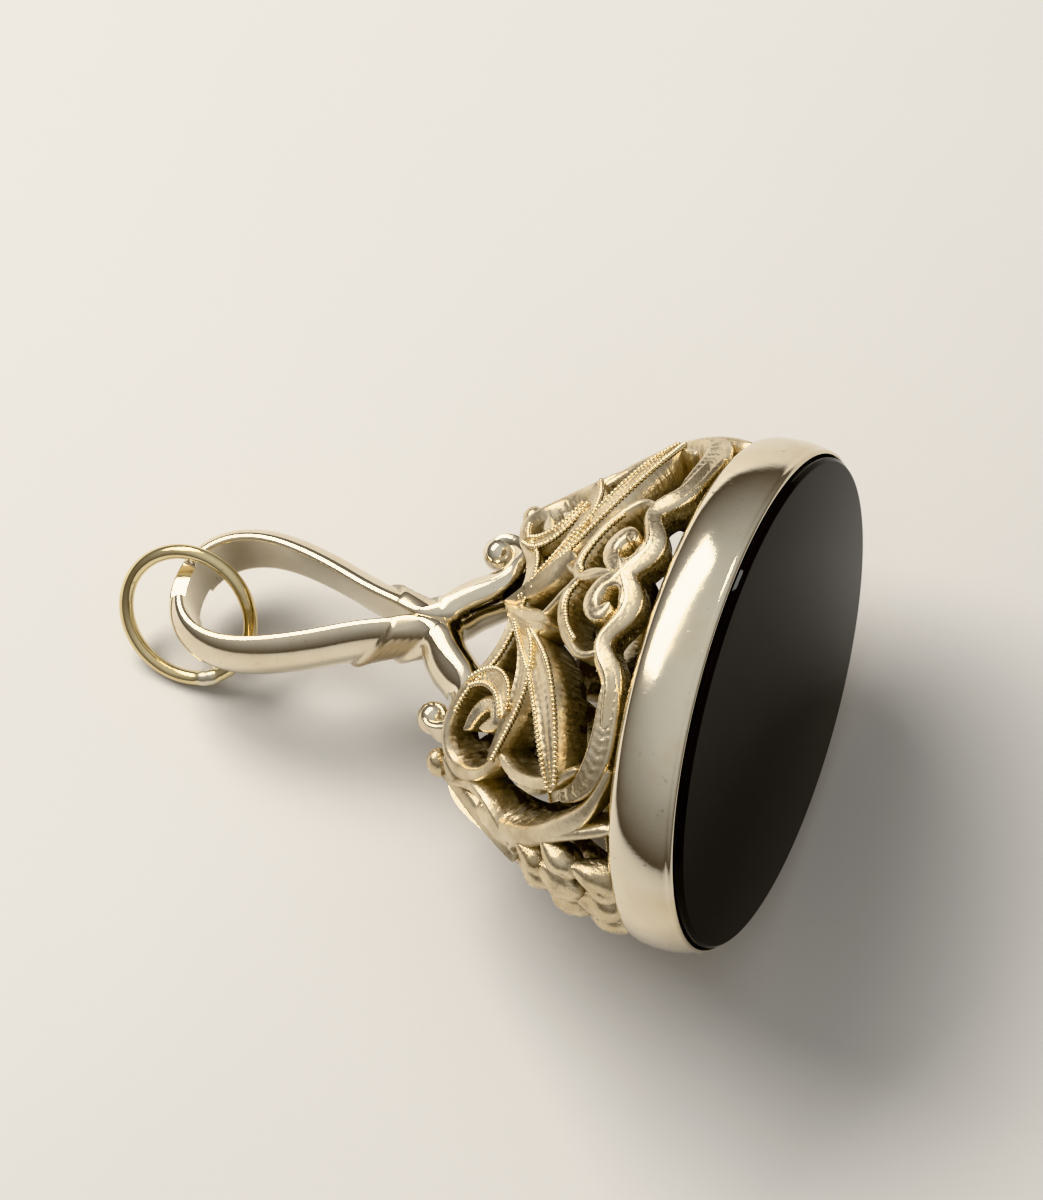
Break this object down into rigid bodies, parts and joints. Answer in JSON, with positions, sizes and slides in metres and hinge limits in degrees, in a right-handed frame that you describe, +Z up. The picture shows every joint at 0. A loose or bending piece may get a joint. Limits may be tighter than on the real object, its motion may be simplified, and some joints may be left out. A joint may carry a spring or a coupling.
{
  "type": "onyx seal fob",
  "caption": "Gold seal fob lying on its side: oval onyx tablet in a plain collar, pierced scroll basket and pear-shaped bow with a jump ring.",
  "frame": {"origin": "centre of the bounding box on the surface that the fob lies on", "axes": "+Z up, +X from the bow towards the stone, +Y along the oval stone's long axis"},
  "size_m": [0.0324, 0.023, 0.0185],
  "materials": {
    "pale_gold": "worn pale 9 carat gold, polished on the collar and bow and cast on the basket",
    "onyx": "polished opaque black onyx",
    "yellow_gold": "polished yellow gold wire"
  },
  "bodies": {
    "root": {"gold_mount": "pale_gold", "onyx_stone": "onyx", "jump_ring": "yellow_gold"}
  },
  "joints": []
}
